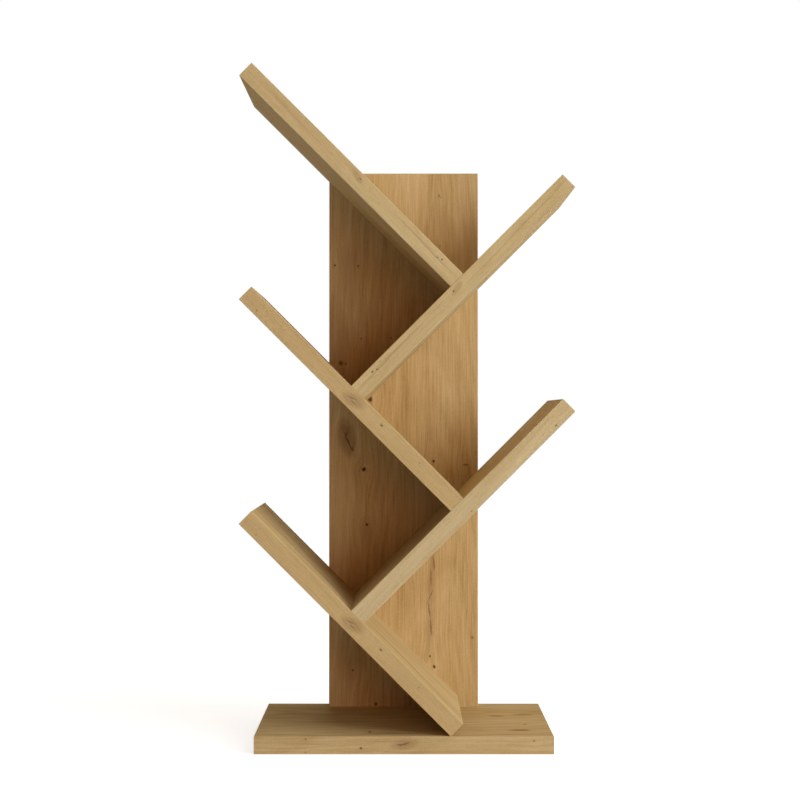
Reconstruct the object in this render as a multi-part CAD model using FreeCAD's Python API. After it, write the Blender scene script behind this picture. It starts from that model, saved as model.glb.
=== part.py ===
"""Tree shaped bookshelf: five arms that zigzag up the front of a back panel on a base.

Lengths are in millimetres. +X is to the right of someone facing the shelf, +Y runs back to the wall and
+Z is up. The origin is the middle of the base's underside, on the floor.
"""
import FreeCAD, Part
import math
import os

from FreeCAD import Placement, Rotation, Vector

# Boards
BOARD_T = 18.0              # thickness of every board
BASE_WIDTH = 300.0          # left to right
ARM_LENGTH = 300.0          # from an arm's foot to its tip
ARM_DEPTH = 150.0           # front edge to back panel
PANEL_WIDTH = 164.0         # left to right
PANEL_RISE = 54.0           # height of the back panel above the highest screw
AXIS_OFFSET = 3.2           # how far the middle of the zigzag stands right of the base's middle

# Edge bands, glued on the edges that stay in sight
BAND_T = 1.0                # thickness of a strip
BAND_EDGE_R = 0.6           # rounding along the board's faces

# Countersunk screws with a hexagon socket
SCREW_LENGTH = 50.0         # head included
SCREW_HEAD_D = 10.0
SCREW_SHANK_D = 5.0
SOCKET_ACROSS = 4.0         # across its flats
SOCKET_DEPTH = 2.0
HEAD_SINK = 0.3             # head below the face of the board
ARM_SCREW_FROM_FOOT = 40.0  # first screw in an arm, from its foot
ARM_SCREW_SPACING = 70.0    # first screw to second
BASE_SCREW_INSET = 27.0     # screws under the panel, from its sides

# Dowels
DOWEL_D = 8.0
DOWEL_LENGTH = 30.0
DOWEL_IN_FACE = 10.0        # how deep a dowel sits in the face that a board butts on
ARM_DOWEL_INSET = 35.0      # dowels in an arm's foot, from its front and rear edges
PANEL_DOWEL_SPACING = 44.0  # between the two dowels under the panel

# Clearances
FIT = 0.1                   # between a screw or dowel and its hole, all round
HOLE_END_GAP = 1.0          # between the end of a screw or dowel and the bottom of its hole

# The arms stand at 45 degrees: only then is every joint square and the zigzag plumb
ARM_ANGLE = 45.0
SLOPE = math.sqrt(0.5)      # sine and cosine of that angle

# Worked out from the sizes above
EDGE_R = min(BAND_EDGE_R, 0.9 * BAND_T)
BASE_DEPTH = ARM_DEPTH + BOARD_T
FRONT_Y = -BASE_DEPTH / 2
WALL_Y = BASE_DEPTH / 2
PANEL_Y = WALL_Y - BOARD_T
PANEL_MID_Y = (PANEL_Y + WALL_Y) / 2
SCREW_CONE = (SCREW_HEAD_D - SCREW_SHANK_D) / 2

LEFT, RIGHT = -1, 1
Z_AXIS = Vector(0, 0, 1)
TINY = 1e-6


class Arm:
    """One sloping arm. In its own frame X runs along it and Z is square to it, from its foot."""

    def __init__(self, name, side, foot_x, foot_z):
        self.name = name
        self.side = side
        self.placement = Placement(Vector(foot_x, 0, foot_z), Rotation(Vector(0, 1, 0), -ARM_ANGLE * side))

    def point(self, along, y, up):
        """The place in the part's frame of a point of the arm, measured from its foot."""
        return self.placement.multVec(Vector(self.side * along, y, up))

    def direction(self):
        """The way from the arm's foot to its tip."""
        return self.placement.Rotation.multVec(Vector(self.side, 0, 0))

    def middle_of_upper_face(self):
        """Where the next arm's foot stands."""
        return self.point(ARM_LENGTH / 2, 0, BOARD_T / 2)


def zigzag():
    """The five arms from the bottom up, each standing on the middle of the one below."""
    # The lowest corner is rounded, so its sharp corner lies a little below the base's top
    corner_z = BOARD_T - EDGE_R * (math.sqrt(2) - 1)
    reach_left = ARM_LENGTH * SLOPE
    reach_right = (ARM_LENGTH + BOARD_T) * SLOPE - (ARM_LENGTH - BOARD_T) / 2 * SLOPE
    corner_x = AXIS_OFFSET + (reach_left - reach_right) / 2
    foot = Vector(corner_x + BOARD_T / 2 * SLOPE, 0, corner_z + BOARD_T / 2 * SLOPE)
    places = [
        ("lower_left", LEFT),
        ("lower_right", RIGHT),
        ("middle_left", LEFT),
        ("upper_right", RIGHT),
        ("upper_left", LEFT),
    ]
    arms = []
    for name, side in places:
        arm = Arm(name, side, foot.x, foot.z)
        arms.append(arm)
        foot = arm.middle_of_upper_face()
    return arms


def box(low, high):
    """A box between two opposite corners."""
    size = high - low
    return Part.makeBox(size.x, size.y, size.z, low)


def side_plane(low, high, side):
    """The axis number and the place of one side of a box, where side is such as "-x" or "+z"."""
    axis = "xyz".index(side[1])
    return axis, (low if side[0] == "-" else high)[axis]


def edges_on(block, low, high, sides):
    """The edges of the block that lie on one of the given sides of its box."""
    found = []
    for side in sides:
        axis, place = side_plane(low, high, side)
        found += [e for e in block.Edges if all(abs(v.Point[axis] - place) < TINY for v in e.Vertexes)]
    return found


def without(edges, others):
    """The edges that aren't among the others."""
    return [e for e in edges if not any(e.isSame(other) for other in others)]


def banded_board(low, high, thickness_axis, banded):
    """A board and its edge bands, as a core and named strips.

    low and high are corners of the finished board. banded gives each strip's name and side, in the order in
    which they are glued: a later strip covers the ends of an earlier one. The other edges stay raw and sharp.
    """
    block = box(low, high)
    faces = ["-" + thickness_axis, "+" + thickness_axis]
    narrow_sides = [sign + axis for axis in "xyz" if axis != thickness_axis for sign in "-+"]
    raw = [side for side in narrow_sides if side not in banded.values()]
    rims = without(edges_on(block, low, high, faces), edges_on(block, low, high, raw))
    block = block.makeFillet(EDGE_R, rims)

    core_low, core_high = Vector(low), Vector(high)
    for side in banded.values():
        axis, _ = side_plane(low, high, side)
        if side[0] == "-":
            core_low[axis] += BAND_T
        else:
            core_high[axis] -= BAND_T

    strips = {}
    strip_low, strip_high = Vector(core_low), Vector(core_high)
    for name, side in banded.items():
        axis, place = side_plane(low, high, side)
        one_low, one_high = Vector(strip_low), Vector(strip_high)
        if side[0] == "-":
            one_high[axis] = strip_low[axis]
            one_low[axis] = strip_low[axis] = place
        else:
            one_low[axis] = strip_high[axis]
            one_high[axis] = strip_high[axis] = place
        strips[name] = block.common(box(one_low, one_high))
    return box(core_low, core_high), strips


def revolved(outline):
    """A solid of revolution about Z from (radius, height) points."""
    points = [Vector(radius, 0, height) for radius, height in outline]
    face = Part.Face(Part.makePolygon(points + points[:1]))
    return face.revolve(Vector(0, 0, 0), Z_AXIS, 360)


def pointing(shape, start, direction):
    """The shape moved so that its origin is at start and its Z axis points along direction."""
    moved = shape.copy()
    moved.Placement = Placement(start, Rotation(Z_AXIS, direction))
    return moved


def screw(start, direction):
    """A screw whose head is sunk a little below start, which lies on the board's face."""
    head_r = SCREW_HEAD_D / 2
    shank_r = SCREW_SHANK_D / 2
    body = revolved([
        (0, 0),
        (head_r, 0),
        (shank_r, SCREW_CONE),
        (shank_r, SCREW_LENGTH),
        (0, SCREW_LENGTH),
    ])
    corner_r = SOCKET_ACROSS / math.sqrt(3)
    corners = [
        Vector(corner_r * math.cos(math.radians(60 * i)), corner_r * math.sin(math.radians(60 * i)), 0)
        for i in range(7)
    ]
    socket = Part.Face(Part.makePolygon(corners)).extrude(Vector(0, 0, SOCKET_DEPTH))
    return pointing(body.cut(socket), start + direction * HEAD_SINK, direction)


def screw_hole(start, direction):
    """The countersunk hole for such a screw, through the first board and into the second."""
    rim_r = SCREW_HEAD_D / 2 + FIT
    pilot_r = SCREW_SHANK_D / 2 + FIT
    bottom = HEAD_SINK + SCREW_LENGTH + HOLE_END_GAP
    hole = revolved([
        (0, 0),
        (rim_r, 0),
        (rim_r, HEAD_SINK),
        (pilot_r, HEAD_SINK + SCREW_CONE),
        (pilot_r, bottom),
        (0, bottom),
    ])
    return pointing(hole, start, direction)


def dowel(joint, direction):
    """A dowel that crosses a joint along direction, from the face that a board butts on into that board."""
    return Part.makeCylinder(DOWEL_D / 2, DOWEL_LENGTH, joint - direction * DOWEL_IN_FACE, direction)


def dowel_hole(joint, direction):
    """The hole for such a dowel, in both boards."""
    length = DOWEL_LENGTH + 2 * HOLE_END_GAP
    start = joint - direction * (DOWEL_IN_FACE + HOLE_END_GAP)
    return Part.makeCylinder(DOWEL_D / 2 + FIT, length, start, direction)


def drilled(solid, holes):
    """The solid with every hole that reaches it cut out."""
    reaching = [hole for hole in holes if solid.BoundBox.intersect(hole.BoundBox)]
    return solid.cut(reaching) if reaching else solid


def write(node, *shapes):
    """Write one node's solids to its own file."""
    solids = [solid for shape in shapes for solid in shape.Solids]
    whole = solids[0] if len(solids) == 1 else Part.makeCompound(solids)
    whole.exportStep(f"parts/{node}.step")
    print(f"{node}: {len(solids)} solids, {whole.Volume / 1000:.1f} cm3")


def write_board(node, board_name, core, strips, holes):
    """Write a board and each of its edge bands, drilled where holes reach them."""
    write(node, drilled(core, holes))
    for name, strip in strips.items():
        write(f"{board_name}_{name}_band", drilled(strip, holes))


def arm_board(arm):
    """An arm's core and strips, in place. Only the lowest arm's foot is free, so only it is banded."""
    foot, tip = ("-x", "+x") if arm.side == RIGHT else ("+x", "-x")
    banded = {"foot": foot} if arm.name == "lower_left" else {}
    banded.update(tip=tip, front="-y", rear="+y")
    ends = sorted((0, arm.side * ARM_LENGTH))
    low = Vector(ends[0], FRONT_Y, -BOARD_T / 2)
    high = Vector(ends[1], PANEL_Y, BOARD_T / 2)
    core, strips = banded_board(low, high, "z", banded)
    for shape in [core, *strips.values()]:
        shape.Placement = arm.placement
    return core, strips


def main():
    os.makedirs("parts", exist_ok=True)
    arms = zigzag()

    # Screws through the panel: two to an arm, in the middle of its thickness
    back = Vector(0, -1, 0)
    screw_starts = [
        arm.point(ARM_SCREW_FROM_FOOT + i * ARM_SCREW_SPACING, WALL_Y, 0) for arm in arms for i in range(2)
    ]
    arm_screws = [screw(start, back) for start in screw_starts]
    arm_screw_holes = [screw_hole(start, back) for start in screw_starts]
    panel_top = max(start.z for start in screw_starts) + PANEL_RISE

    # Screws and dowels between the base and the panel
    screw_x = PANEL_WIDTH / 2 - BASE_SCREW_INSET
    base_starts = [Vector(side * screw_x, PANEL_MID_Y, 0) for side in (LEFT, RIGHT)]
    base_screws = [screw(start, Z_AXIS) for start in base_starts]
    dowel_feet = [Vector(side * PANEL_DOWEL_SPACING / 2, PANEL_MID_Y, BOARD_T) for side in (LEFT, RIGHT)]
    base_dowels = [dowel(foot, Z_AXIS) for foot in dowel_feet]
    base_holes = [screw_hole(start, Z_AXIS) for start in base_starts]
    base_holes += [dowel_hole(foot, Z_AXIS) for foot in dowel_feet]

    # Dowels in the butt joints, each pair along the arm that stands on the joint
    joint_dowels = {}
    joint_holes = []
    for below, arm in zip(arms, arms[1:]):
        ends = [arm.point(0, y, 0) for y in (FRONT_Y + ARM_DOWEL_INSET, PANEL_Y - ARM_DOWEL_INSET)]
        joint_dowels[below.name] = [dowel(end, arm.direction()) for end in ends]
        joint_holes += [dowel_hole(end, arm.direction()) for end in ends]

    base_low = Vector(-BASE_WIDTH / 2, FRONT_Y, 0)
    base_high = Vector(BASE_WIDTH / 2, WALL_Y, BOARD_T)
    base_edges = {"left": "-x", "right": "+x", "front": "-y", "rear": "+y"}
    base, base_bands = banded_board(base_low, base_high, "z", base_edges)
    write_board("base_board", "base", base, base_bands, base_holes)

    panel_low = Vector(-PANEL_WIDTH / 2, PANEL_Y, BOARD_T)
    panel_high = Vector(PANEL_WIDTH / 2, WALL_Y, panel_top)
    panel_edges = {"top": "+z", "left": "-x", "right": "+x"}
    panel, panel_bands = banded_board(panel_low, panel_high, "y", panel_edges)
    write_board("back_panel", "back_panel", panel, panel_bands, base_holes + arm_screw_holes)

    for arm in arms:
        core, strips = arm_board(arm)
        node = f"{arm.name}_arm"
        write_board(node, node, core, strips, arm_screw_holes + joint_holes)

    write("panel_to_arm_screws", *arm_screws)
    write("base_to_panel_screws", *base_screws)
    write("panel_base_dowels", *base_dowels)
    for name, dowels in joint_dowels.items():
        write(f"{name}_joint_dowels", *dowels)


main()
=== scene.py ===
import math
from collections import namedtuple

import bpy
from mathutils import Matrix, Vector


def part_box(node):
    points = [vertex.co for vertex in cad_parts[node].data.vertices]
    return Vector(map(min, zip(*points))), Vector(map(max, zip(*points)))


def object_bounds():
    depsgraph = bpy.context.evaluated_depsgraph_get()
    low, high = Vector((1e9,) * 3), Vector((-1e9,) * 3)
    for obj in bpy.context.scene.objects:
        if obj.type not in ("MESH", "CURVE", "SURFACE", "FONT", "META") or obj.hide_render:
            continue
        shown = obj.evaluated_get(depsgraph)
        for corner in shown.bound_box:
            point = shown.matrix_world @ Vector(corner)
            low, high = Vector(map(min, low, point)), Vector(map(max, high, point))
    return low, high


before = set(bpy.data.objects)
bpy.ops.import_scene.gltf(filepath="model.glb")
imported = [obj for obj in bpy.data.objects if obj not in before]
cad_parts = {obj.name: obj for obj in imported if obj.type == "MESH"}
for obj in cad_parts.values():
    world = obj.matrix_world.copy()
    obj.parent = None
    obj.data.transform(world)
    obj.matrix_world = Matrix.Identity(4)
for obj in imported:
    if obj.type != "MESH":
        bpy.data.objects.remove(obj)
cad_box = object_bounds()

# Looks of the tree shaped bookshelf. Lengths are in metres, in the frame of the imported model:
# +X is to the right of someone facing the shelf, +Y runs back to the wall and +Z is up.

X = Vector((1, 0, 0))
Y = Vector((0, 1, 0))
Z = Vector((0, 0, 1))
SLOPE = math.sqrt(0.5)      # sine and cosine of the arms' 45 degrees
LEFT, RIGHT = -1, 1
WHITE = (1, 1, 1)
BLACK = (0, 0, 0)

# Camera: in front of the shelf, looking up a little
CAMERA_PLACE = Vector((-0.0039, -1.5545, 0.3379))
CAMERA_PITCH = math.radians(0.618)
FOCAL_PIXELS = 1469.65
PICTURE_SIDE = 800
SENSOR_WIDTH = 36.0         # millimetres, as Blender counts lenses

# Soft boxes: azimuth (0 is the front of the shelf, 90 its right), height angle, side and level of light
SOFTBOX_DISTANCE = 6.0
SOFTBOXES = {
    "key": (60, 13, 3.8, 0.604),
    "front_right": (28, 2, 2.2, 0.178),
    "warm_fill": (10, 4, 2.2, 0.114),
    "upper_right": (58, 52, 4.0, 0.207),
    "overhead": (0, 75, 4.0, 0.115),
    "rear_right": (130, 52, 4.4, 0.161),
    "rear": (180, 4, 2.4, 0.517),
    "rear_left": (-150, 45, 4.0, 0.046),
    "left": (-85, 2, 2.4, 0.023),
    "upper_left": (-50, 45, 3.2, 0.042),
}
LAMP_TINTS = {              # the other lamps are white
    "warm_fill": (1.0, 0.42, 0.22),
    "upper_left": (1.0, 0.58, 0.32),
    "overhead": (1.0, 0.88, 0.76),
    "rear_right": (1.0, 0.88, 0.76),
    "rear_left": (1.0, 0.88, 0.76),
}
MATTE_LAMPS = ("rear", "rear_left", "left", "upper_left")     # lamps that leave no gleam on the boards

# Floor and world
AMBIENT = 0.005             # light on the shelf from all round
FLOOR_SIDE = 12.0
FLOOR_GREY = 0.8
FLOOR_TOOTH = 0.01          # how far the paper's tooth departs from that grey
FLOOR_ROUGHNESS = 0.9
FLOOR_SPECULAR = 0.1
FLOOR_LIFT = 0.7            # what the camera sees on top of the lit floor, up to white
FLOOR_FADE = (0.5, 1.2)     # from the lit floor to plain white, as distances from the origin

# A layer of noise: its features to a metre on each axis, with the grain along the first, its octaves of
# finer detail and how strong they are, and how far the layer swings the wood's shade
Layer = namedtuple("Layer", "size detail roughness swing", defaults=(1.0, 0.5, 0.0))

WANDER = Layer((5, 9, 9))                   # slow bends of the grain
RAGGED = Layer((240, 400, 400))             # uneven rims of knots
FIBRE = Layer((5, 50, 50), 3.0, 0.68, 0.34)
LINE = Layer((22, 900, 900), swing=0.48)
TONE = Layer((1.4, 15, 15), 2.0, swing=0.12)
RING = Layer((2.5, 430, 0), swing=0.28)     # along the board, and across its growth rings
FLECK = Layer((700, 900, 900), swing=0.20)
PORE = Layer((70, 1500, 1500))
HUE = Layer((1.4, 15, 15))
CHIP = Layer((380, 380, 380), 3.0)          # chips of the raw core
BLOOM = Layer((260, 260, 260), 3.0)         # bloom and scratches of the zinc
SCRATCH = Layer((900, 4000, 900), 2.0)
DOWEL_FIBRE = Layer((900, 900, 900), 3.0)
PAPER_TOOTH = Layer((400, 400, 400), 2.0)

# Seeds: boards and bands with different seeds lie in different parts of the noise
BASE_SEED, PANEL_SEED, BASE_EDGE_SEED, BASE_SIDE_SEED, PANEL_SIDE_SEED, PANEL_TOP_SEED = range(1, 7)
KNOTTY_SEED, PALE_SEED, STREAKY_SEED = range(7, 10)
FACE_SEED, REAR_SEED, END_SEED = 10, 20, 30     # of the lowest arm, and each next arm has the next ones
SEED_SHIFT = Vector((1.37, 0.71, 0.43))         # from one seed's part to the next one's

# Grain
HUE_SHIFT = Vector((3, 5, 7))               # from the noise of tones to that of hues
NOISE_MIDDLE = 0.5
WANDER_REACH = 0.010
RAGGED_REACH = Vector((0.0018, 0.0018, 0.0018))
PITH_DEPTH = 0.07           # distance of the tree's heart below the face
PITH_ASIDE = 0.034          # and to the side of the board's middle
RING_TAPER = 0.065          # how fast the rings widen along the board
RING_WAVER = 0.02           # how far the tone moves them
PORE_RIM = (0.56, 0.72)     # levels of noise from a closed pore to an open one
HUE_RIM = (0.3, 0.7)        # and from the cool hue to the warm one
FACE_RIM = (0.85, 0.95)     # how square to the decor's face a surface is, from raw core to decor
MIDDLE_SHADE = 0.5
PORE_DARK = 0.07
# Lift of the panel's paler left edge: partly pale sapwood, partly painted light that brightens the left
# parts of the shaded bays
SAPWOOD_AND_PAINTED_LIGHT_LIFT = 0.12
STREAK_LIFT = 0.13
BAND_CONTRAST = 0.4         # fine lines and rings on the arms' front bands beside those on the panel
BASE_TOP_CONTRAST = 1.25    # and on the base's top
BASE_EDGE_CONTRAST = 0.75   # and on its front and rear bands
PANEL_SAPWOOD_AND_PAINTED_LIGHT = (-0.085, -0.035)    # across the panel, where the paler left edge ends: partly pale sapwood, partly painted light on the left parts of the shaded bays

# Colours
BOARD_TINT = (0.576, 0.414, 0.191)
BAND_TINT = (0.613, 0.465, 0.235)
BASE_BAND_TINT = (0.577, 0.435, 0.209)
PALE_BAND_TINT = (0.628, 0.497, 0.256)
PALEST_BAND_TINT = (0.668, 0.543, 0.298)
SHADES = [                  # from dark to pale grain, as shares of a tint
    (0.00, (0.42, 0.32, 0.20)),
    (0.30, (0.77, 0.71, 0.60)),
    (0.50, (1.00, 1.00, 1.00)),
    (0.70, (1.19, 1.25, 1.39)),
    (1.00, (1.42, 1.58, 1.94)),
]
COOL = (0.99, 1.00, 1.03)
WARM = (1.01, 0.995, 0.96)
KNOT_HALO = (0.183, 0.063, 0.017)
KNOT_CORE = (0.035, 0.016, 0.008)
CHIP_SHADES = [(0.35, (0.261, 0.165, 0.087)), (0.65, (0.522, 0.383, 0.235))]
ZINC_SHADES = [(0.3, (0.36, 0.37, 0.39)), (0.7, (0.46, 0.44, 0.38))]
BEECH_SHADES = [(0.3, (0.50, 0.32, 0.18)), (0.6, (0.66, 0.47, 0.30))]

# Surfaces: how the noise swings the roughness and what it is without that, and the height of the bumps
OAK_ROUGHNESS = (-0.14, 0.78)
OAK_BUMP = {"Strength": 0.06, "Distance": 0.0003}
OAK_SPECULAR = 0.015
ZINC_ROUGHNESS = (0.25, 0.22)
ZINC_BUMP = {"Strength": 0.1, "Distance": 0.0001}
BEECH_ROUGHNESS = (0.2, 0.5)

# A knot: where it is along and across the board, its half length and half width, how far it leans, and
# how dark its core and its halo are. With no core it is a streak. In a list of pale streaks the halo says
# how pale it is.
Knot = namedtuple("Knot", "along across length width lean core halo", defaults=(0.0, 0.9, 0.3))

# Rims of the core and the halo, as squares of the half length and half width
CORE_RIM = (0.2, 1.6)
HALO_RIM = (0.0, 3.5)
PUSH_SHARE = 0.6            # how far a full core pushes the grain aside
PUSH_ALONG = (2.0, 0.010)   # reach of that push, as a multiple of the half length and a length beyond
PUSH_ACROSS = (3.0, 0.004)  # and the same for the half width

# Knots and streaks, placed where the photo shows them
PANEL_KNOTS = [
    Knot(0.504, -0.0756, 0.0011, 0.0010),
    Knot(0.503, -0.0502, 0.0010, 0.0008, 0.0, 0.7),
    Knot(0.509, -0.0600, 0.0085, 0.0060, 0.0, 0.0, 0.16),
    Knot(0.396, -0.0690, 0.0024, 0.0020, 0.0, 0.5, 0.5),
    Knot(0.395, -0.0639, 0.0010, 0.0009, 0.0, 0.6, 0.4),
    Knot(0.423, -0.0469, 0.0012, 0.0010, 0.0, 0.4, 0.2),
    Knot(0.424, -0.0138, 0.0010, 0.0009, 0.0, 0.4, 0.2),
    Knot(0.356, -0.0370, 0.0025, 0.0021, 0.0, 0.75, 0.55),
    Knot(0.314, -0.0620, 0.0145, 0.0066, -0.12, 0.0, 0.50),
    Knot(0.322, -0.0640, 0.0060, 0.0040, -0.3, 0.0, 0.58),
    Knot(0.309, -0.0608, 0.0105, 0.0009, -0.45, 0.70, 0.4),
    Knot(0.318, -0.0632, 0.0040, 0.0007, 0.10, 0.45, 0.3),
    Knot(0.301, -0.0560, 0.0030, 0.0009, -0.20, 0.5, 0.3),
    Knot(0.279, -0.0436, 0.0021, 0.0018, 0.0, 0.95, 0.5),
    Knot(0.218, -0.0403, 0.0015, 0.0013, 0.0, 0.95, 0.5),
    Knot(0.213, -0.0420, 0.0100, 0.0050, 0.0, 0.0, 0.15),
    Knot(0.288, 0.0331, 0.0013, 0.0011, 0.0, 0.85, 0.4),
    Knot(0.284, 0.0690, 0.0008, 0.0024, 0.5, 0.35, 0.3),
    Knot(0.581, 0.0392, 0.0016, 0.0009, 0.3, 0.35, 0.2),
    Knot(0.579, 0.0405, 0.0009, 0.0009, 0.0, 0.35, 0.2),
    Knot(0.525, 0.0400, 0.0010, 0.0009, 0.0, 0.35, 0.2),
    Knot(0.134, 0.0302, 0.0460, 0.0036, 0.033, 0.0, 0.28),
    Knot(0.175, 0.0333, 0.0070, 0.0008, -0.08, 0.0, 0.64),
    Knot(0.160, 0.0303, 0.0070, 0.0008, 0.0, 0.0, 0.64),
    Knot(0.140, 0.0297, 0.0060, 0.0008, 0.43, 0.0, 0.64),
    Knot(0.124, 0.0282, 0.0075, 0.0008, -0.12, 0.0, 0.70),
    Knot(0.105, 0.0302, 0.0075, 0.0008, -0.05, 0.0, 0.72),
    Knot(0.073, 0.0292, 0.0015, 0.0010, 0.0, 0.7, 0.4),
    Knot(0.062, 0.0337, 0.0018, 0.0015, 0.0, 0.85, 0.5),
    Knot(0.094, 0.0756, 0.0012, 0.0014, 0.0, 0.35, 0.2),
    Knot(0.058, -0.0558, 0.0013, 0.0011, 0.0, 0.6, 0.3),
    Knot(0.021, -0.0304, 0.0014, 0.0016, 0.0, 0.7, 0.4),
    Knot(0.432, -0.0720, 0.0300, 0.0090, 0.0, 0.0, 0.19),
    Knot(0.485, -0.0620, 0.0280, 0.0080, 0.0, 0.0, 0.15),
    Knot(0.078, -0.0570, 0.0220, 0.0120, 0.0, 0.0, 0.20),
]
PANEL_PALE_STREAKS = [
    Knot(0.585, 0.0040, 0.0500, 0.0150, 0.0, 0.0, 1.0),
]
STREAKY_EDGE_KNOTS = [
    Knot(0.1400, 0.0034, 0.0013, 0.0008, 0.0, 0.6, 0.4),
    Knot(0.1440, 0.0030, 0.0060, 0.0022, 0.2, 0.0, 0.25),
    Knot(0.0300, 0.0024, 0.0009, 0.0007, 0.0, 0.6, 0.3),
    Knot(0.0250, 0.0040, 0.0009, 0.0008, 0.0, 0.7, 0.3),
    Knot(0.0460, 0.0022, 0.0300, 0.0007, 0.03, 0.0, 0.28),
    Knot(0.0600, 0.0032, 0.0220, 0.0006, -0.04, 0.0, 0.22),
    Knot(0.2200, 0.0010, 0.0400, 0.0007, 0.02, 0.0, 0.16),
]
KNOTTY_EDGE_KNOTS = [
    Knot(0.1475, 0.0002, 0.0092, 0.0048, -0.20, 0.0, 0.30),
    Knot(0.1500, 0.0010, 0.0050, 0.0006, -0.36, 0.40, 0.3),
    Knot(0.1450, -0.0010, 0.0042, 0.0006, -0.14, 0.40, 0.3),
    Knot(0.1090, 0.0028, 0.0013, 0.0010, 0.0, 0.65, 0.4),
    Knot(0.0560, 0.0030, 0.0007, 0.0006, 0.0, 0.4, 0.2),
    Knot(0.2790, -0.0044, 0.0009, 0.0007, 0.0, 0.4, 0.2),
]
PALE_EDGE_KNOTS = [
    Knot(0.2760, -0.0052, 0.0010, 0.0007, 0.0, 0.6, 0.3),
    Knot(0.1560, -0.0060, 0.0012, 0.0008, 0.0, 0.3, 0.2),
]
BASE_EDGE_KNOTS = [
    Knot(-0.0430, -0.0027, 0.0012, 0.0012, 0.0, 0.6, 0.4),
    Knot(0.0001, 0.0011, 0.0098, 0.0042, 0.15, 0.0, 0.30),
    Knot(0.0006, 0.0012, 0.0060, 0.0022, 0.18, 0.0, 0.40),
    Knot(0.0012, 0.0015, 0.0062, 0.0007, 0.35, 0.50, 0.3),
    Knot(-0.0028, 0.0006, 0.0055, 0.0006, 0.05, 0.46, 0.3),
    Knot(-0.0982, 0.0063, 0.0009, 0.0007, 0.0, 0.5, 0.3),
    Knot(-0.0982, -0.0067, 0.0009, 0.0007, 0.0, 0.5, 0.3),
    Knot(0.1301, 0.0043, 0.0010, 0.0007, 0.0, 0.5, 0.3),
]
BASE_EDGE_PALE_STREAKS = [
    Knot(0.105, 0.0, 0.0500, 0.0200, 0.0, 0.0, 0.6),
]
BASE_TOP_KNOTS = [
    Knot(-0.0344, -0.0640, 0.0016, 0.0030, 0.0, 0.6, 0.4),
    Knot(0.1180, -0.0550, 0.0085, 0.0026, 0.0, 0.20, 0.60),
    Knot(0.1255, -0.0270, 0.0018, 0.0018, 0.0, 0.35, 0.3),
    Knot(0.1280, 0.0220, 0.0075, 0.0030, 0.0, 0.0, 0.40),
    Knot(0.0986, 0.0160, 0.0060, 0.0030, 0.0, 0.0, 0.42),
    Knot(-0.0800, -0.0150, 0.0350, 0.0020, 0.01, 0.0, 0.25),
    Knot(-0.0900, 0.0250, 0.0250, 0.0018, -0.01, 0.0, 0.25),
    Knot(-0.0120, -0.0700, 0.0220, 0.0030, 0.0, 0.0, 0.50),
    Knot(-0.0330, 0.0210, 0.0220, 0.0022, 0.01, 0.0, 0.25),
]
LOWEST_ARM_KNOTS = [
    Knot(0.0550, -0.0480, 0.0450, 0.0016, 0.01, 0.0, 0.40),
    Knot(0.0700, -0.0150, 0.0400, 0.0012, -0.01, 0.0, 0.30),
    Knot(0.0400, -0.0620, 0.0220, 0.0008, 0.0, 0.0, 0.55),
    Knot(0.0300, -0.0300, 0.0300, 0.0008, 0.01, 0.0, 0.50),
]

# The arms from the bottom up: the way each leans, the decor of its faces and that of its front band. Bands
# with the same seed show the same stretch of decor.
Arm = namedtuple("Arm", "name side face_tint face_knots band_tint band_knots band_seed")
ARMS = [
    Arm("lower_left", LEFT, BOARD_TINT, LOWEST_ARM_KNOTS, BAND_TINT, KNOTTY_EDGE_KNOTS, KNOTTY_SEED),
    Arm("lower_right", RIGHT, BOARD_TINT, (), PALEST_BAND_TINT, PALE_EDGE_KNOTS, PALE_SEED),
    Arm("middle_left", LEFT, BOARD_TINT, (), BAND_TINT, KNOTTY_EDGE_KNOTS, KNOTTY_SEED),
    Arm("upper_right", RIGHT, BAND_TINT, (), PALE_BAND_TINT, STREAKY_EDGE_KNOTS, STREAKY_SEED),
    Arm("upper_left", LEFT, BOARD_TINT, (), PALE_BAND_TINT, STREAKY_EDGE_KNOTS, STREAKY_SEED),
]


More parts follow.
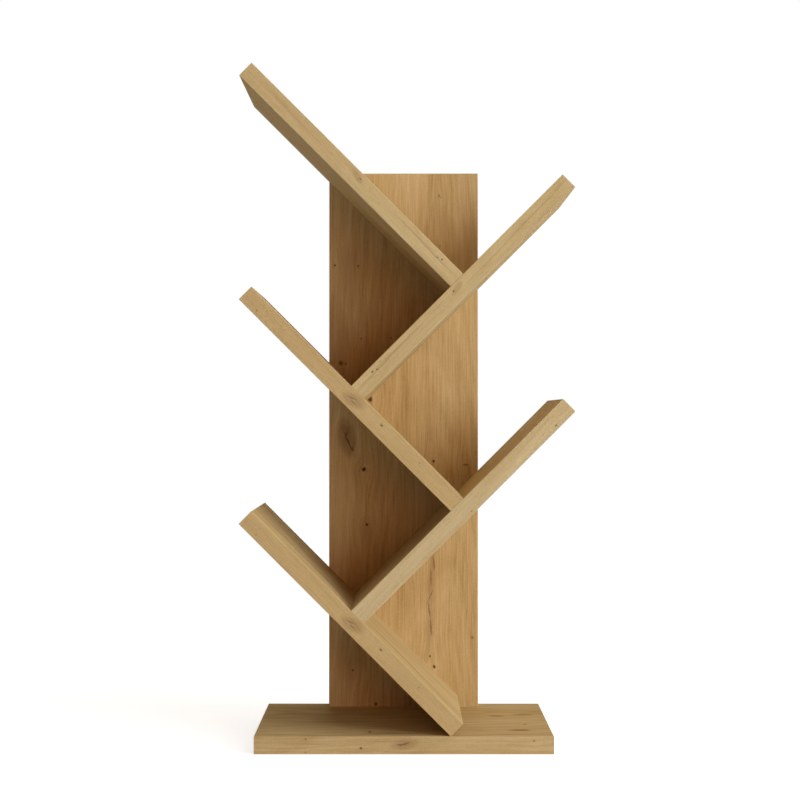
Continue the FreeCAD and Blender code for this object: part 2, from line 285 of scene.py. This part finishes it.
class Graph:
    """A node tree under construction. Most methods add one node and return its output."""

    def __init__(self, tree):
        self.tree = tree

    def feed(self, socket, value):
        """Wire a socket to another, or set its value."""
        if isinstance(value, bpy.types.NodeSocket):
            self.tree.links.new(value, socket)
        else:
            socket.default_value = value

    def add(self, kind, **inputs):
        """Add a node of that kind with its named inputs."""
        node = self.tree.nodes.new("ShaderNode" + kind)
        for name, value in inputs.items():
            self.feed(node.inputs[name.replace("_", " ")], value)
        return node

    def math(self, operation, *values):
        node = self.tree.nodes.new("ShaderNodeMath")
        node.operation = operation
        for socket, value in zip(node.inputs, values):
            self.feed(socket, value)
        return node.outputs[0]

    def vector(self, operation, *values):
        node = self.tree.nodes.new("ShaderNodeVectorMath")
        node.operation = operation
        for socket, value in zip(node.inputs, values):
            self.feed(socket, value)
        return node.outputs["Value" if operation in ("DOT_PRODUCT", "LENGTH") else "Vector"]

    def join(self, x, y, z):
        return self.add("CombineXYZ", X=x, Y=y, Z=z).outputs[0]

    def split(self, vector):
        return self.add("SeparateXYZ", Vector=vector).outputs

    def squares(self, a, b):
        """The sum of two squares."""
        return self.math("ADD", self.math("MULTIPLY", a, a), self.math("MULTIPLY", b, b))

    def noise(self, place, layer, output="Fac"):
        """The noise of a layer, between 0 and 1, or as a colour."""
        scaled = self.vector("MULTIPLY", place, layer.size)
        node = self.add("TexNoise", Vector=scaled, Scale=1.0, Detail=layer.detail, Roughness=layer.roughness)
        return node.outputs[output]

    def smooth(self, value, low, high):
        """0 below low and 1 above high, with a smooth step between."""
        node = self.tree.nodes.new("ShaderNodeMapRange")
        node.interpolation_type = "SMOOTHSTEP"
        self.feed(node.inputs["Value"], value)
        self.feed(node.inputs["From Min"], low)
        self.feed(node.inputs["From Max"], high)
        return node.outputs[0]

    def fade(self, value, low, high):
        """1 below low and 0 above high, with a smooth step between."""
        return self.math("SUBTRACT", 1.0, self.smooth(value, low, high))

    def ramp(self, value, stops):
        node = self.add("ValToRGB", Fac=value)
        elements = node.color_ramp.elements
        while len(elements) < len(stops):
            elements.new(0.5)
        for element, (place, colour) in zip(elements, stops):
            element.position = place
            element.color = (*colour, 1)
        return node.outputs["Color"]

    def mix(self, amount, first, second, blend="MIX"):
        node = self.tree.nodes.new("ShaderNodeMix")
        node.data_type = "RGBA"
        node.blend_type = blend
        colours = [s for s in node.inputs if s.type == "RGBA"]
        self.feed(node.inputs[0], amount)
        for socket, value in zip(colours, (first, second)):
            self.feed(socket, (*value, 1) if isinstance(value, tuple) else value)
        return next(s for s in node.outputs if s.type == "RGBA")


def new_material(name):
    """A material with its graph and its shader."""
    material = bpy.data.materials.new(name)
    material.use_nodes = True
    tree = material.node_tree
    return material, Graph(tree), tree.nodes["Principled BSDF"]


def knot_group():
    """A node group for one knot: how it pushes the grain aside, and how dark its core and halo are."""
    tree = bpy.data.node_groups.new("knot", "ShaderNodeTree")
    for name in ("u", "v", *Knot._fields):
        tree.interface.new_socket(name, in_out="INPUT", socket_type="NodeSocketFloat")
    for name in ("push", "dark core", "dark halo"):
        tree.interface.new_socket(name, in_out="OUTPUT", socket_type="NodeSocketFloat")
    g = Graph(tree)
    given = tree.nodes.new("NodeGroupInput").outputs
    result = tree.nodes.new("NodeGroupOutput").inputs
    along = g.math("SUBTRACT", given["u"], given["along"])
    across = g.math("SUBTRACT", given["v"], given["across"])
    across = g.math("SUBTRACT", across, g.math("MULTIPLY", along, given["lean"]))
    spread = g.squares(g.math("DIVIDE", along, given["length"]), g.math("DIVIDE", across, given["width"]))
    reach_along = g.math("MULTIPLY_ADD", given["length"], *PUSH_ALONG)
    reach_across = g.math("MULTIPLY_ADD", given["width"], *PUSH_ACROSS)
    far = g.squares(g.math("DIVIDE", along, reach_along), g.math("DIVIDE", across, reach_across))
    bell = g.math("EXPONENT", g.math("MULTIPLY", far, -0.5))
    strength = g.math("MULTIPLY", given["core"], PUSH_SHARE)
    g.feed(result["push"], g.math("MULTIPLY", g.math("MULTIPLY", across, bell), strength))
    g.feed(result["dark core"], g.math("MULTIPLY", g.fade(spread, *CORE_RIM), given["core"]))
    g.feed(result["dark halo"], g.math("MULTIPLY", g.fade(spread, *HALO_RIM), given["halo"]))
    return tree


KNOT_GROUP = knot_group()


def knots_at(g, u, v, knots):
    """The push, core and halo of all the knots together."""
    push, core, halo = 0.0, 0.0, 0.0
    for knot in knots:
        node = g.add("Group")
        node.node_tree = KNOT_GROUP
        for name, value in {"u": u, "v": v, **knot._asdict()}.items():
            g.feed(node.inputs[name], value)
        push = g.math("ADD", push, node.outputs["push"])
        core = g.math("MAXIMUM", core, node.outputs["dark core"])
        halo = g.math("MAXIMUM", halo, node.outputs["dark halo"])
    return push, core, halo


def ragged_place(g, on_board, place):
    """The place on the board, moved to and fro a little, for the rims of knots."""
    moved = g.vector("MULTIPLY", g.noise(place, RAGGED, "Color"), RAGGED_REACH)
    return g.vector("ADD", on_board, g.vector("SUBTRACT", moved, RAGGED_REACH * NOISE_MIDDLE))


def growth_rings(g, u, v, w, tone):
    """Noise in rings round the tree's heart, which runs below the face and to one side."""
    side = g.math("SUBTRACT", v, PITH_ASIDE)
    deep = g.math("ADD", w, PITH_DEPTH)
    radius = g.math("SQRT", g.squares(side, deep))
    radius = g.math("MULTIPLY_ADD", u, RING_TAPER, radius)
    radius = g.math("MULTIPLY_ADD", tone, RING_WAVER, radius)
    return g.noise(g.join(u, radius, 0.0), RING)


def oak(name, origin, along, across, seed, tint, knots=(), contrast=1.0, raw_core=False, sapwood_and_painted_light=None,
        pale_streaks=()):
    """Knotty oak decor on a board or strip, with its grain along one axis from the origin."""
    material, g, shader = new_material(name)
    face = along.cross(across)
    turn = Matrix((along, across, face)).transposed().to_euler()
    texture = g.add("TexCoord").outputs
    mapping = g.add("Mapping", Vector=texture["Object"], Location=origin, Rotation=turn)
    mapping.vector_type = "TEXTURE"
    on_board = mapping.outputs[0]
    shift = SEED_SHIFT * seed
    place = g.vector("ADD", on_board, shift)

    torn_u, torn_v, _ = g.split(ragged_place(g, on_board, place))
    push, core, halo = knots_at(g, torn_u, torn_v, knots)
    u, v, w = g.split(on_board)
    wander = g.math("SUBTRACT", g.noise(place, WANDER), NOISE_MIDDLE)
    bent = g.math("SUBTRACT", g.math("MULTIPLY_ADD", wander, WANDER_REACH, v), push)
    grain = g.vector("ADD", g.join(u, bent, w), shift)

    line = g.noise(grain, LINE)
    tone = g.noise(grain, TONE)
    swings = [
        (g.noise(grain, FIBRE), FIBRE.swing),
        (line, LINE.swing * contrast),
        (tone, TONE.swing),
        (growth_rings(g, u, bent, w, tone), RING.swing * contrast),
        (g.noise(grain, FLECK), FLECK.swing),
    ]
    shade = MIDDLE_SHADE
    for level, swing in swings:
        shade = g.math("ADD", shade, g.math("MULTIPLY_ADD", level, swing, -swing * NOISE_MIDDLE))
    open_pore = g.smooth(g.noise(grain, PORE), *PORE_RIM)
    shade = g.math("MULTIPLY_ADD", open_pore, -PORE_DARK, shade)
    # Paler left edge of the panel: partly pale sapwood, partly painted light on the left parts of the shaded
    # bays
    if sapwood_and_painted_light:
        shade = g.math("MULTIPLY_ADD", g.fade(bent, *sapwood_and_painted_light), SAPWOOD_AND_PAINTED_LIGHT_LIFT, shade)
    if pale_streaks:
        pale = knots_at(g, torn_u, torn_v, pale_streaks)[2]
        shade = g.math("MULTIPLY_ADD", pale, STREAK_LIFT, shade)

    stops = [(spot, tuple(share * part for share, part in zip(shares, tint))) for spot, shares in SHADES]
    colour = g.ramp(shade, stops)
    hue = g.smooth(g.noise(g.vector("ADD", grain, HUE_SHIFT), HUE), *HUE_RIM)
    colour = g.mix(1.0, colour, g.mix(hue, COOL, WARM), "MULTIPLY")
    colour = g.mix(halo, colour, KNOT_HALO)
    colour = g.mix(core, colour, KNOT_CORE)
    if raw_core:
        chips = g.ramp(g.noise(place, CHIP), CHIP_SHADES)
        facing = g.math("ABSOLUTE", g.vector("DOT_PRODUCT", texture["Normal"], face))
        colour = g.mix(g.smooth(facing, *FACE_RIM), chips, colour)
    g.feed(shader.inputs["Base Color"], colour)
    g.feed(shader.inputs["Roughness"], g.math("MULTIPLY_ADD", line, *OAK_ROUGHNESS))
    bump = g.add("Bump", **OAK_BUMP, Height=g.math("SUBTRACT", line, open_pore))
    g.feed(shader.inputs["Normal"], bump.outputs[0])
    shader.inputs["Specular IOR Level"].default_value = OAK_SPECULAR
    return material


def zinc(name):
    """Zinc plate on the screws, with fine scratches and a faint yellow bloom."""
    material, g, shader = new_material(name)
    place = g.add("TexCoord").outputs["Object"]
    scratch = g.noise(place, SCRATCH)
    g.feed(shader.inputs["Base Color"], g.ramp(g.noise(place, BLOOM), ZINC_SHADES))
    g.feed(shader.inputs["Roughness"], g.math("MULTIPLY_ADD", scratch, *ZINC_ROUGHNESS))
    bump = g.add("Bump", **ZINC_BUMP, Height=scratch)
    g.feed(shader.inputs["Normal"], bump.outputs[0])
    shader.inputs["Metallic"].default_value = 1.0
    return material


def beech(name):
    """Pale beech with short dark flecks, for the dowels."""
    material, g, shader = new_material(name)
    fibre = g.noise(g.add("TexCoord").outputs["Object"], DOWEL_FIBRE)
    g.feed(shader.inputs["Base Color"], g.ramp(fibre, BEECH_SHADES))
    g.feed(shader.inputs["Roughness"], g.math("MULTIPLY_ADD", fibre, *BEECH_ROUGHNESS))
    return material


def wear(node, material):
    """Give a node one material."""
    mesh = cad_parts[node].data
    mesh.materials.clear()
    mesh.materials.append(material)


def dress_base_and_panel(board_t):
    """Oak on the base, the panel and their bands."""
    middle = Vector((0, 0, board_t / 2))
    origin = Vector((0, 0, 0))
    base = oak("oak_base", middle, X, Y, BASE_SEED, BOARD_TINT, BASE_TOP_KNOTS, BASE_TOP_CONTRAST,
               raw_core=True)
    wear("base_board", base)
    panel = oak("oak_panel", origin, Z, X, PANEL_SEED, BOARD_TINT, PANEL_KNOTS, raw_core=True,
                sapwood_and_painted_light=PANEL_SAPWOOD_AND_PAINTED_LIGHT, pale_streaks=PANEL_PALE_STREAKS)
    wear("back_panel", panel)
    front = oak("oak_base_front", middle, X, Z, BASE_EDGE_SEED, BASE_BAND_TINT, BASE_EDGE_KNOTS,
                BASE_EDGE_CONTRAST, pale_streaks=BASE_EDGE_PALE_STREAKS)
    wear("base_front_band", front)
    rear = oak("oak_base_rear", middle, X, Z, BASE_EDGE_SEED, BASE_BAND_TINT, contrast=BASE_EDGE_CONTRAST)
    wear("base_rear_band", rear)
    for side in ("left", "right"):
        wear(f"base_{side}_band", oak(f"oak_base_{side}", middle, Y, Z, BASE_SIDE_SEED, BASE_BAND_TINT))
        wear(f"back_panel_{side}_band", oak(f"oak_panel_{side}", origin, Z, Y, PANEL_SIDE_SEED, BAND_TINT))
    wear("back_panel_top_band", oak("oak_panel_top", origin, X, Y, PANEL_TOP_SEED, BAND_TINT))


def dress_arm(arm, index, board_t):
    """Oak on an arm and its bands, with the grain from the middle of its foot to its tip."""
    node = f"{arm.name}_arm"
    name = f"oak_{arm.name}"
    low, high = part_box(node)
    inset = board_t / 2 * SLOPE
    foot_x = low.x + inset if arm.side == RIGHT else high.x - inset
    foot = Vector((foot_x, 0, low.z + inset))
    along = Vector((arm.side * SLOPE, 0, SLOPE))
    up = Vector((-arm.side * SLOPE, 0, SLOPE))
    face = oak(name, foot, along, Y, FACE_SEED + index, arm.face_tint, arm.face_knots, raw_core=True)
    wear(node, face)
    front = oak(f"{name}_front", foot, along, up, arm.band_seed, arm.band_tint, arm.band_knots,
                BAND_CONTRAST)
    wear(f"{node}_front_band", front)
    wear(f"{node}_rear_band", oak(f"{name}_rear", foot, along, up, REAR_SEED + index, arm.band_tint))
    for end in ("tip", "foot"):
        if f"{node}_{end}_band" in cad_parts:
            wear(f"{node}_{end}_band", oak(f"{name}_{end}", foot, Y, up, END_SEED + index, arm.band_tint))


def dress_fasteners():
    """Zinc on the screws and beech for the dowels."""
    metal = zinc("zinc_plate")
    pale = beech("beech_dowel")
    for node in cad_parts:
        if node.endswith("_screws"):
            wear(node, metal)
        if node.endswith("_dowels"):
            wear(node, pale)


def toward(azimuth, elevation):
    """The way from the shelf to a lamp. Azimuth 0 is the front and 90 the right."""
    a, e = math.radians(azimuth), math.radians(elevation)
    return Vector((math.sin(a) * math.cos(e), -math.cos(a) * math.cos(e), math.sin(e)))


def softbox(name, azimuth, elevation, side, level):
    """A square lamp that lights a surface facing it at the shelf to that level."""
    low, high = cad_box
    middle = (Vector(low) + Vector(high)) / 2
    lamp = bpy.data.lights.new(name, "AREA")
    lamp.shape = "SQUARE"
    lamp.size = side
    lamp.energy = level * math.pi ** 2 * SOFTBOX_DISTANCE ** 2
    lamp.color = LAMP_TINTS.get(name, WHITE)
    box = bpy.data.objects.new(name, lamp)
    way = toward(azimuth, elevation)
    box.location = middle + way * SOFTBOX_DISTANCE
    box.rotation_euler = way.to_track_quat("Z", "Y").to_euler()
    box.visible_camera = False
    box.visible_glossy = name not in MATTE_LAMPS
    bpy.context.scene.collection.objects.link(box)


def seen_directly(g):
    """1 for what the camera sees, straight or in metal and glass, and 0 for light on the shelf."""
    path = g.add("LightPath").outputs
    seen = g.math("MAXIMUM", path["Is Camera Ray"], path["Is Glossy Ray"])
    return g.math("MAXIMUM", seen, path["Is Transmission Ray"])


def floor_paper():
    """Pale paper that the camera sees as white, darker only where the shelf's shadow lies."""
    material, g, shader = new_material("floor_paper")
    place = g.add("TexCoord").outputs["Object"]
    tooth = g.noise(place, PAPER_TOOTH)
    grey = g.ramp(tooth, [(0.0, (FLOOR_GREY - FLOOR_TOOTH,) * 3), (1.0, (FLOOR_GREY + FLOOR_TOOTH,) * 3)])
    seen = seen_directly(g)
    plain = g.math("MULTIPLY", seen, g.smooth(g.vector("LENGTH", place), *FLOOR_FADE))
    lift = g.math("MULTIPLY_ADD", plain, 1.0 - FLOOR_LIFT, g.math("MULTIPLY", seen, FLOOR_LIFT))
    g.feed(shader.inputs["Base Color"], g.mix(plain, grey, BLACK))
    g.feed(shader.inputs["Emission Strength"], lift)
    shader.inputs["Emission Color"].default_value = (*WHITE, 1)
    shader.inputs["Roughness"].default_value = FLOOR_ROUGHNESS
    shader.inputs["Specular IOR Level"].default_value = FLOOR_SPECULAR
    return material


def stage():
    """A white floor that keeps the shelf's shadow, white all round, and the soft boxes."""
    mesh = bpy.data.meshes.new("floor")
    half = FLOOR_SIDE / 2
    corners = [(-half, -half, 0), (half, -half, 0), (half, half, 0), (-half, half, 0)]
    mesh.from_pydata(corners, [], [(0, 1, 2, 3)])
    mesh.materials.append(floor_paper())
    floor = bpy.data.objects.new("floor", mesh)
    floor.location.z = cad_box[0][2]
    bpy.context.scene.collection.objects.link(floor)

    world = bpy.data.worlds.new("studio")
    world.use_nodes = True
    g = Graph(world.node_tree)
    background = world.node_tree.nodes["Background"]
    background.inputs["Color"].default_value = (*WHITE, 1)
    g.feed(background.inputs["Strength"], g.math("MAXIMUM", seen_directly(g), AMBIENT))
    bpy.context.scene.world = world
    for name, settings in SOFTBOXES.items():
        softbox(name, *settings)


def camera():
    """The photograph's view."""
    lens = bpy.data.cameras.new("camera")
    lens.sensor_width = SENSOR_WIDTH
    lens.lens = SENSOR_WIDTH * FOCAL_PIXELS / PICTURE_SIDE
    viewer = bpy.data.objects.new("camera", lens)
    viewer.location = CAMERA_PLACE
    viewer.rotation_euler = (math.pi / 2 + CAMERA_PITCH, 0, 0)
    bpy.context.scene.collection.objects.link(viewer)
    bpy.context.scene.camera = viewer


base_low, base_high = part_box("base_board")
board_thickness = base_high.z - base_low.z
dress_base_and_panel(board_thickness)
for number, one_arm in enumerate(ARMS):
    dress_arm(one_arm, number, board_thickness)
dress_fasteners()
stage()
camera()
bpy.context.scene.view_settings.view_transform = "Standard"
